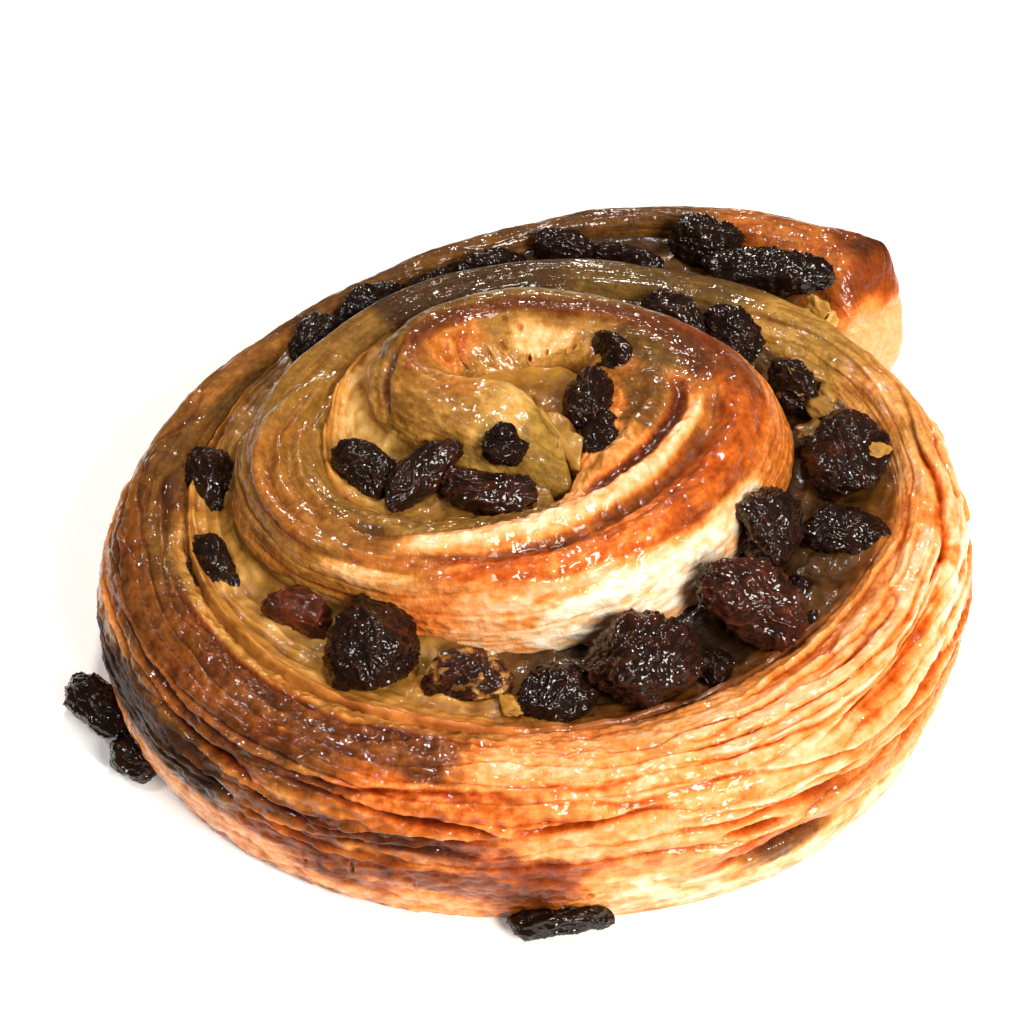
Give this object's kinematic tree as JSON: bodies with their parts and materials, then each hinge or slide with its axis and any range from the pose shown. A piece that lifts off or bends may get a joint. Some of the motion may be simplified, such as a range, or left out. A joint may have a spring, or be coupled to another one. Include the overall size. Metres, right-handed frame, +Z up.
{
  "type": "pain aux raisins",
  "caption": "Round Danish-style pastry: a strip of laminated dough wound into a swirl that rises to its middle, with baked pastry cream and raisins between its turns, made to be eaten.",
  "frame": {"origin": "middle of the pastry's plan, on the surface that it rests on", "axes": "+Z up; +X to the right and -Y towards the viewer, with the cut tail of the swirl at the back right"},
  "size_m": [0.1218, 0.1246, 0.0345],
  "materials": {
    "baked_laminated_dough": "glazed, browned crust of thin flaky layers, from pale golden to dark brown",
    "baked_pastry_cream": "wet, translucent olive-yellow baked cream",
    "glazed_heart_cream": "glossy bumpy orange-yellow baked cream",
    "glazed_raisin": "wrinkled near-black skin with a thin syrup glaze"
  },
  "bodies": {
    "root": {"dough": "baked_laminated_dough", "pastry_cream": "baked_pastry_cream", "heart_cream": "glazed_heart_cream", "raisin_01": "glazed_raisin", "raisin_02": "glazed_raisin", "raisin_03": "glazed_raisin", "raisin_04": "glazed_raisin", "raisin_05": "glazed_raisin", "raisin_06": "glazed_raisin", "raisin_07": "glazed_raisin", "raisin_08": "glazed_raisin", "raisin_09": "glazed_raisin", "raisin_10": "glazed_raisin", "raisin_11": "glazed_raisin", "raisin_12": "glazed_raisin", "raisin_13": "glazed_raisin", "raisin_14": "glazed_raisin", "raisin_15": "glazed_raisin", "raisin_16": "glazed_raisin", "raisin_17": "glazed_raisin", "raisin_18": "glazed_raisin", "raisin_19": "glazed_raisin", "raisin_20": "glazed_raisin", "raisin_21": "glazed_raisin", "raisin_22": "glazed_raisin", "raisin_23": "glazed_raisin", "raisin_24": "glazed_raisin", "raisin_25": "glazed_raisin", "raisin_26": "glazed_raisin", "raisin_27": "glazed_raisin", "raisin_28": "glazed_raisin", "raisin_29": "glazed_raisin", "raisin_30": "glazed_raisin", "raisin_31": "glazed_raisin", "raisin_32": "glazed_raisin", "raisin_33": "glazed_raisin", "raisin_34": "glazed_raisin", "raisin_35": "glazed_raisin"}
  },
  "joints": []
}
